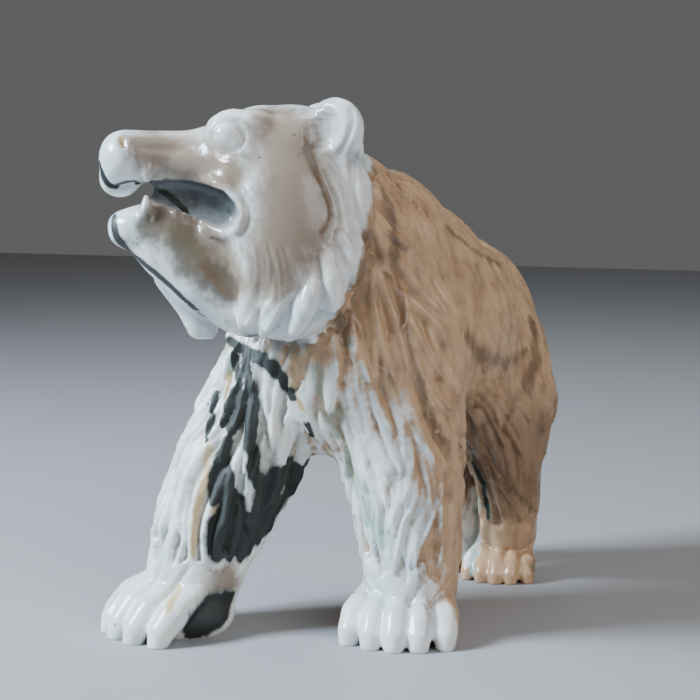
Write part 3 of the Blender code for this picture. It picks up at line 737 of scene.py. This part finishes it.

# %% [markdown]
# ## Where the stone changes colour, and where shade is painted
#
# Calcite is white where it is pure. Iron stains it tan and ochre, clay and chlorite draw dark green
# lines through it, and the old skin of the block stays on the back as a brown patina. A few of the
# lines paint shade, not stain: a dark one in the gap of the mouth, a dark one and two brown ones in the
# gap in front of the near hind leg, and a grey one under the ruff, while the grey band along the jaw
# is partly a darker tone of the stone and partly painted shade. Each line has a half width in units
# and is traced on the photograph in its pixels. A ray from the camera carries every point of the line
# onto the carving, and each place on the skin then learns how near it is to the line. That nearness
# is stored as a field on the mesh for the stone's nodes to use.

# %% Stains and painted shadows traced on the photograph
STAIN_AND_SHADOW_LINES = {
    "dark": [
        ([(115, 210), (112.5, 225), (118, 241), (135, 257), (160, 277), (185, 300), (204, 317)], 0.62),
        ([(218, 333), (230, 341), (245, 351), (262, 359), (271, 366), (278, 373), (285, 383), (294, 398)], 0.95),
        ([(302, 416), (308, 426), (313, 436)], 0.55),
        ([(100, 163), (101, 172), (108, 184), (117, 186), (129, 181), (143, 183)], 0.55),
        ([(216, 392), (212, 413), (209, 427), (206, 442)], 0.5),
        ([(233, 352), (237, 368), (240, 385)], 0.6),
        ([(239, 388), (236, 407), (231, 430)], 1.5),
        ([(229, 436), (222, 460), (216, 485), (213, 502)], 1.15),
        ([(246, 357), (250, 380), (251, 402), (250, 427), (251, 447), (253, 466), (257, 485)], 1.15),
        ([(226, 404), (223, 427)], 0.5),
        ([(229, 470), (228, 500), (226, 515)], 0.9),
        ([(222, 516), (220, 535), (219, 556)], 1.9),
        ([(234, 496), (234, 530), (232, 558)], 1.7),
        ([(247, 518), (247, 540), (244, 557)], 1.9),
        ([(310, 460), (296, 480), (282, 500), (271, 518), (261, 536)], 2.5),
        ([(290, 466), (276, 488), (264, 512), (254, 535)], 2.1),
        ([(229, 599), (210, 613), (191, 629)], 2.3),
        ([(224, 614), (207, 626), (191, 635)], 1.8),
        # Painted shadow, not stain: the dark gap between the hind legs, laid on the front of the near one.
        ([(470, 460), (480, 476), (487, 498), (488, 518)], 0.45),
        # Painted shadow, not stain: the dark gap along the inner edge of the lower jaw, inside the mouth.
        ([(147, 184), (158, 189), (170, 196), (180, 206), (188, 213)], 0.42),
        ([(328, 478), (338, 492)], 0.6)],
    "brown": [
        ([(305, 140), (317, 175), (327, 200), (331, 215), (322, 233)], 1.0),
        ([(383, 188), (394, 227), (396, 277), (404, 319), (411, 350), (423, 388), (433, 434), (449, 442)], 0.9),
        ([(465, 335), (485, 358), (508, 365), (527, 350)], 1.7),
        ([(446, 227), (473, 250), (500, 265)], 0.8),
        ([(531, 319), (538, 365), (519, 396), (508, 419)], 1.5),
        ([(462, 434), (500, 419)], 1.1),
        # Painted shadow, not stain: the next two lines darken the gap between the hind legs, on the front of the near
        # one.
        ([(468, 448), (480, 462), (494, 480)], 2.4),
        ([(468, 456), (480, 472), (487, 498), (488, 522), (484, 545)], 1.5),
        ([(367, 235), (366, 262), (360, 290), (350, 315)], 1.9),
        ([(497, 440), (501, 465), (511, 492)], 1.3),
        ([(522, 498), (534, 510)], 1.1),
        ([(338, 311), (342, 342)], 0.8),
        ([(358, 312), (357, 340)], 0.9),
        ([(440, 425), (438, 445)], 1.3),
        ([(200, 262), (222, 290), (238, 300)], 0.8)],
    "ochre": [
        ([(209, 446), (207, 474), (198, 502), (195, 530), (193, 557)], 0.8),
        ([(218, 491), (212, 524)], 0.6),
        ([(229, 372), (229, 382), (226, 407)], 0.7),
        ([(257, 452), (257, 475)], 0.6),
        ([(180, 586), (166, 612)], 0.7),
        ([(305, 414), (297, 398), (287, 380)], 0.6),
        ([(122, 137), (122, 146)], 0.55)],
    "green": [
        ([(350, 454), (354, 481), (373, 519), (381, 546)], 2.0),
        ([(335, 411), (338, 435)], 1.3),
        ([(315, 365), (323, 396)], 1.0),
        ([(226, 350), (230, 372), (222, 400)], 0.8),
        ([(479, 500), (476, 530), (472, 575)], 0.8)],
    "grey": [
        # Painted shade under the ruff, on the throat.
        ([(250, 336), (275, 341), (305, 345)], 1.9),
        # Along the jaw: partly a darker tone of the stone, partly painted shade on the jaw's shaded side.
        ([(148, 220), (172, 240), (200, 264), (232, 296)], 3.1),
        ([(338, 318), (350, 345)], 1.4)],
    "pale": [
        ([(472, 492), (471, 520), (469, 560)], 2.2)],
    "tan": [
        ([(137, 144), (167, 152), (200, 162), (232, 178)], 3.9),
        ([(276, 116), (290, 150), (298, 185), (293, 220), (281, 252), (266, 278)], 6.4),
        ([(158, 205), (185, 228), (212, 254), (240, 284)], 4.0),
        ([(228, 571), (224, 598)], 2.8)]}


def seen(px, py):
    """Where the camera sees the carving through a pixel of the photograph, or None beside it."""
    middle = PHOTO_PX / 2
    way = Vector(((px - middle) / FOCAL_PX, (middle - py) / FOCAL_PX, -1))
    way.rotate(eye.rotation_euler)
    return carving.ray_cast(eye.location, way.normalized())[0]


def traced(line):
    """A line of the photograph, rounded and laid on the carving."""
    return [spot for spot in (seen(*p) for p in softened([Vector(q) for q in line])) if spot is not None]


def nearness(spots, tree, lines):
    """For each point: 1 on a line, 0.5 at its half width, 0 at twice that. Lines taper to their ends."""
    near_to = np.zeros(len(spots))
    for path, width in lines:
        if len(path) < 2:
            continue
        near, gap, along = beside(spots, tree, path, 2.2 * width)
        local = width * (0.6 + 0.55 * np.sin(np.pi * along) ** 0.6)
        near_to[near] = np.maximum(near_to[near], np.clip(1 - gap / (2 * local), 0, 1))
    return near_to


def store(name, values):
    """Keeps a number for every point of the carving."""
    layer = bear.data.attributes.new(name, "FLOAT", "POINT")
    layer.data.foreach_set("value", np.asarray(values, dtype=np.float32))


carving = tree_of(bear.data)
skin_spots, skin_normals = arrays_of(bear.data)
skin_tree = point_tree(skin_spots)
stains_and_shadows = {name: [(traced(line), width) for line, width in lines] for name, lines in STAIN_AND_SHADOW_LINES.items()}
print("traced lines", {name: len(lines) for name, lines in stains_and_shadows.items()})

# %% [markdown]
# ## The sides that the photograph doesn't show
#
# The right flank, the back of the head and the rump get stains of the same kinds, fewer and plainer.
# They follow the lie of the coat from seeded places, so the carving looks whole from every side. The
# patches of the near cheek and muzzle are mirrored onto the far ones.

# %% Stains of the hidden sides
HIDDEN = {"brown": (16, 22.0, 0.9), "dark": (6, 26.0, 0.42), "ochre": (5, 14.0, 0.7), "green": (4, 14.0, 1.4)}


def moved_lie(spot):
    """The lie of the coat, for a place on the carving after it was centred."""
    return lie(spot - MOVE)


chance = random.Random(23)
for name, (count, length, width) in HIDDEN.items():
    for _ in range(count):
        y = chance.uniform(8, 78)
        z = chance.uniform(24, 86) if name != "green" else chance.uniform(20, 45)
        root = at(-30, y, z) + MOVE
        path = lock_path(carving, root, length, chance.uniform(-25, 25), heading=moved_lie)
        stains_and_shadows[name].append((path, width * chance.uniform(0.7, 1.3)))
across_head = Matrix.Translation(MOVE) @ HEAD @ Matrix.Diagonal((1, -1, 1, 1)) @ (Matrix.Translation(MOVE) @ HEAD).inverted()
middle_of_head = Matrix.Translation(MOVE) @ HEAD @ at(6, 0, 0)
for name in ("tan", "brown", "grey"):
    for path, width in list(stains_and_shadows[name]):
        if all((spot - middle_of_head).length < 34 * UNIT for spot in path) and path[0].z > 74 * UNIT:
            other = [carving.find_nearest(across_head @ spot)[0] for spot in path]
            stains_and_shadows[name].append((other, width * 0.9))
for name, lines in stains_and_shadows.items():
    store(name, nearness(skin_spots, skin_tree, lines))
print("lines with the hidden sides", {name: len(lines) for name, lines in stains_and_shadows.items()})

# %% [markdown]
# ## Patina, relief and the mouth as fields
#
# The patina covers back, flanks and rump. Low on the forelegs it only reaches round their rear and
# outer side, and higher up it reaches further to the front, as the photograph shows. The head has its
# own patches. Shade is painted over the lower rear of the body, from the belly down the hind legs.
# The relief of the carving is kept too, so that the hollows between locks can be painted in shade and
# stains can reach further into them. The inside of the mouth is found by asking how deep a place lies
# under the skull as it was before it was cut, and it is painted in shade, darker towards the top.

# %% Patina, relief and mouth
REACH_ROUND = ([0, 24, 37, 44, 51, 56, 62, 110], [4, 2, -2, -5, -10, -14, -19, -20])

x, y, z = ((skin_spots - np.array(MOVE)) / UNIT).T
reach_round = np.interp(z, *REACH_ROUND) + 14 * np.clip((-x - 4) / 8, 0, 1) * np.clip((56 - z) / 8, 0, 1)
patina = 0.5 + (y + 6 * skin_normals[:, 1] - reach_round) / 16
to_head = np.array(HEAD.inverted() @ Matrix.Translation(-MOVE))
f, side_way, u = ((skin_spots @ to_head[:3, :3].T + to_head[:3, 3]) / UNIT).T
on_head = np.clip((f + 9 + 0.30 * (u + 26)) / 3.5, 0, 1) * np.clip((u + 34) / 6, 0, 1)
store("patina", np.clip(patina, 0, 1) * (1 - on_head))
# Painted shade over the lower rear of the body, from the belly down the hind legs.
store("under", np.clip((46 - z) / 12, 0, 1) * np.clip((y - 20) / 6, 0, 1) * np.clip((z - 12) / 8, 0, 1))

was = point_tree(spots + np.array(MOVE))
nearest = np.array([was.find(spot)[1] for spot in skin_spots])
store("crest", np.where(furred, lift, 0)[nearest])
store("furred", furred[nearest])

# Painted shade inside the mouth: the deeper a place lies under the uncut skull, the darker it is.
depth = np.zeros(len(skin_spots))
for index in np.nonzero((on_head > 0.5) & (f > 5) & (f < 27) & (u > -13) & (u < 2))[0]:
    spot = Vector(skin_spots[index]) - MOVE
    place, normal, _, _ = skull_skin_whole.find_nearest(spot)
    depth[index] = max(0, (place - spot).dot(normal)) / UNIT
# The thin wall left in the middle of the mouth's front is painted in the same shade.
web = np.clip((2.9 - np.abs(side_way)) / 0.7, 0, 1) * (f > 19) * (f < 24.5) * (u > -4.6 - 0.8 * (23 - f)) * (u < -0.7)
store("mouth", np.maximum(np.clip((depth - 0.4) / 0.8, 0, 1) * np.clip((26 - f) / 2, 0, 1), web))
store("mouth_top_shade", np.clip((u + 9) / 7, 0, 1))
print("patina covers", round(float((patina > 0.5).mean()), 2), "of the points")

# %% [markdown]
# ## Calcite
#
# One Principled surface serves the whole carving. White calcite lets light in a little, so it has
# some subsurface scattering. The fields are pushed about by noise before they are turned into
# colours, which frays their edges as stains in stone are. Noise that is stretched along Z makes the
# streaks that run down the coat. The polish is highest on the bare head and paws.

# %% Node helpers
stone = bpy.data.materials.new("white_calcite")
stone.use_nodes = True
nodes, links = stone.node_tree.nodes, stone.node_tree.links
surface = nodes["Principled BSDF"]
place_in_stone = nodes.new("ShaderNodeTexCoord").outputs["Object"]


def feed(socket, value):
    """Sets a socket to a plain value, or links it to another node's output."""
    if isinstance(value, bpy.types.NodeSocket):
        links.new(value, socket)
    else:
        socket.default_value = value


def math_of(kind, a, b):
    """Plain arithmetic on two values."""
    made = nodes.new("ShaderNodeMath")
    made.operation = kind
    feed(made.inputs[0], a)
    feed(made.inputs[1], b)
    return made.outputs[0]


def field(name):
    """A field stored on the carving."""
    made = nodes.new("ShaderNodeAttribute")
    made.attribute_name = name
    return made.outputs["Fac"]


def clouds(scale, detail=3.0, stretch=1.0):
    """Soft noise from -0.5 to 0.5. Stretched below 1, it runs down along Z."""
    place = nodes.new("ShaderNodeVectorMath")
    place.operation = "MULTIPLY"
    feed(place.inputs[0], place_in_stone)
    feed(place.inputs[1], (1, 1, stretch))
    made = nodes.new("ShaderNodeTexNoise")
    feed(made.inputs["Vector"], place.outputs[0])
    feed(made.inputs["Scale"], scale)
    feed(made.inputs["Detail"], detail)
    return math_of("SUBTRACT", made.outputs["Fac"], 0.5)


def step(value, low, high):
    """A smooth step from 0 at low to 1 at high."""
    made = nodes.new("ShaderNodeMapRange")
    made.interpolation_type = "SMOOTHSTEP"
    feed(made.inputs["Value"], value)
    feed(made.inputs["From Min"], low)
    feed(made.inputs["From Max"], high)
    return made.outputs["Result"]


def mixed(share, a, b):
    """One colour going over into another."""
    made = nodes.new("ShaderNodeMix")
    made.data_type = "RGBA"
    feed(made.inputs[0], share)
    feed(made.inputs[6], a)
    feed(made.inputs[7], b)
    return made.outputs[2]


def frayed(name, fray, low, high, amount=1.0, hollow=0.0):
    """The share of a traced line at each place, stain and painted shadow alike: its field pushed about by noise,
    stronger in hollows.
    """
    pushed = math_of("ADD", field(name), fray)
    pushed = math_of("ADD", pushed, math_of("MULTIPLY", field("crest"), -hollow))
    return math_of("MULTIPLY", step(pushed, low, high), amount)


# %% The stone's colour
WHITE = (0.80, 0.78, 0.74, 1)
COOL_WHITE = (0.58, 0.65, 0.68, 1)
TAN = (0.56, 0.335, 0.17, 1)
DEEP_TAN = (0.36, 0.195, 0.09, 1)
FACE_TAN = (0.20, 0.125, 0.072, 1)
SHADE_TAN = (0.12, 0.07, 0.04, 1)
BROWN = (0.13, 0.075, 0.04, 1)
OCHRE = (0.55, 0.34, 0.10, 1)
DARK = (0.006, 0.008, 0.007, 1)
DARK_GREEN = (0.10, 0.14, 0.11, 1)
GREEN = (0.30, 0.43, 0.36, 1)
GREY = (0.085, 0.068, 0.045, 1)
# Painted shade inside the mouth: slate high up, ash lower down.
SLATE = (0.10, 0.105, 0.115, 1)
ASH = (0.42, 0.43, 0.43, 1)
# Painted shade for the hollows between the locks on white stone.
HOLLOW_SHADE = (0.25, 0.24, 0.19, 1)

broad = clouds(55, 3)
middling = clouds(190, 4)
small = clouds(700, 4)
streaks = clouds(420, 3, 0.22)
fray = math_of("ADD", math_of("MULTIPLY", middling, 0.9), math_of("MULTIPLY", small, 0.45))
streaked = math_of("ADD", fray, math_of("MULTIPLY", streaks, 0.8))

colour = mixed(step(math_of("ADD", broad, math_of("MULTIPLY", middling, 0.5)), -0.15, 0.2), WHITE, COOL_WHITE)
# Painted shade: how deep a place lies in a hollow between the locks.
hollow = step(math_of("MULTIPLY", field("crest"), -1.0), 0.1, 1.25)
tan = mixed(step(math_of("ADD", middling, streaks), -0.2, 0.35), TAN, DEEP_TAN)
bare_white = math_of("SUBTRACT", 1.0, step(math_of("ADD", field("pale"), fray), 0.2, 0.6))
covered = math_of("MULTIPLY", frayed("patina", streaked, 0.3, 0.75, 0.93, 0.25), bare_white)
colour = mixed(covered, colour, tan)
# Painted shade over the lower rear of the body, left out where the stone is painted pale.
colour = mixed(math_of("MULTIPLY", field("under"), math_of("MULTIPLY", bare_white, 0.6)), colour, SHADE_TAN)
colour = mixed(frayed("tan", math_of("MULTIPLY", fray, 0.6), 0.0, 0.8, 0.88), colour, FACE_TAN)
colour = mixed(frayed("green", fray, 0.15, 0.8, 0.75, 0.2), colour, GREEN)
# Grey: painted shade under the ruff, a band along the jaw that is partly a darker tone and partly painted shade, and
# a short line on the neck.
colour = mixed(frayed("grey", streaked, 0.1, 0.8, 0.8, 0.1), colour, GREY)
colour = mixed(frayed("ochre", fray, 0.25, 0.7, 0.75, 0.1), colour, OCHRE)
blotched = math_of("ADD", streaked, math_of("MULTIPLY", broad, 0.9))
# Brown: patina stains, and painted shadow in the gap in front of the near hind leg.
colour = mixed(frayed("brown", blotched, 0.12, 1.0, 0.78, 0.2), colour, BROWN)
# Painted shade in the hollows between the locks: grey on white stone, deeper tan under the patina.
colour = mixed(math_of("MULTIPLY", hollow, 0.5), colour, mixed(covered, HOLLOW_SHADE, DEEP_TAN))
# Painted shade inside the mouth: ash low down, slate towards the top.
mouth_shade_colour = mixed(step(math_of("ADD", field("mouth_top_shade"), fray), 0.1, 0.8), ASH, SLATE)
colour = mixed(step(field("mouth"), 0.1, 0.9), colour, mouth_shade_colour)
# Dark: green-black veins and marks, and painted shadow in the gap of the mouth and in front of the near hind leg.
torn = math_of("ADD", math_of("MULTIPLY", fray, 0.6), math_of("MULTIPLY", streaks, 0.6))
colour = mixed(frayed("dark", torn, 0.12, 0.42, 0.7, 0.08), colour, DARK_GREEN)
dark_share = frayed("dark", torn, 0.34, 0.5, 0.96, 0.08)
colour = mixed(dark_share, colour, DARK)

# Tiny black pits, only where a broad noise lets them be
holes = nodes.new("ShaderNodeTexVoronoi")
feed(holes.inputs["Vector"], place_in_stone)
feed(holes.inputs["Scale"], 190.0)
spread_out = step(math_of("ADD", broad, middling), -0.02, 0.1)
pit = math_of("MULTIPLY", step(math_of("MULTIPLY", holes.outputs["Distance"], -1.0), -0.075, -0.045), spread_out)
colour = mixed(math_of("MULTIPLY", pit, 0.85), colour, DARK)
feed(surface.inputs["Base Color"], colour)

# %% Polish, light inside the stone, and fine texture
polish = math_of("SUBTRACT", 0.19, math_of("MULTIPLY", small, 0.10))
fur_matt = math_of("MULTIPLY", field("furred"), 0.16)
dark_matt = math_of("MULTIPLY", dark_share, 0.3)
feed(surface.inputs["Roughness"], math_of("ADD", math_of("ADD", polish, fur_matt), dark_matt))
feed(surface.inputs["Subsurface Weight"], math_of("MULTIPLY", math_of("SUBTRACT", 1.0, dark_share), 0.25))
surface.inputs["Subsurface Radius"].default_value = (1.0, 0.8, 0.6)
surface.inputs["Subsurface Scale"].default_value = 0.0012
grain = nodes.new("ShaderNodeBump")
grain.inputs["Strength"].default_value = 0.25
grain.inputs["Distance"].default_value = 0.0002
feed(grain.inputs["Height"], math_of("ADD", small, streaks))
feed(surface.inputs["Normal"], grain.outputs["Normal"])

bear.data.materials.clear()
bear.data.materials.append(stone)
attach(bear, "root")
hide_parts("bear")
print("nodes in the stone", len(nodes))

# %% [markdown]
# ## Floor and light
#
# A plain pale floor and a grey surround, so that nothing competes with the stone. The photograph was
# lit by a window on the left: one large cool soft box stands there, with two weak fills.

# %% Floor
floor_mesh = bpy.data.meshes.new("floor")
REACH = 1.5
floor_mesh.from_pydata([(-REACH, -REACH, 0), (REACH, -REACH, 0), (REACH, REACH, 0), (-REACH, REACH, 0)],
                       [], [(0, 1, 2, 3)])
floor = placed("floor", floor_mesh)
pale = bpy.data.materials.new("pale_floor")
pale.use_nodes = True
pale.node_tree.nodes["Principled BSDF"].inputs["Base Color"].default_value = (0.34, 0.34, 0.35, 1)
pale.node_tree.nodes["Principled BSDF"].inputs["Roughness"].default_value = 0.6
floor_mesh.materials.append(pale)

# %% Lights
def soft_light(name, place, aim, size, watts, colour=(1, 1, 1)):
    """A square soft box that looks at a point."""
    lamp = bpy.data.lights.new(name, "AREA")
    lamp.size = size
    lamp.energy = watts
    lamp.color = colour
    thing = placed(name, lamp)
    thing.location = place
    thing.rotation_euler = (Vector(aim) - Vector(place)).to_track_quat("-Z", "Y").to_euler()


soft_light("window", (-0.37, -0.40, 0.43), (0, 0, 0.05), 0.22, 14.5, (0.70, 0.86, 1))
soft_light("fill", (0.65, -0.25, 0.40), (0, 0, 0.05), 0.5, 3.4, (0.97, 0.98, 1))
soft_light("top", (0.0, 0.25, 0.8), (0, 0, 0.05), 0.5, 2.0)
world = bpy.data.worlds.new("studio")
world.use_nodes = True
world.node_tree.nodes["Background"].inputs["Color"].default_value = (0.60, 0.60, 0.60, 1)
world.node_tree.nodes["Background"].inputs["Strength"].default_value = 0.2
bpy.context.scene.world = world
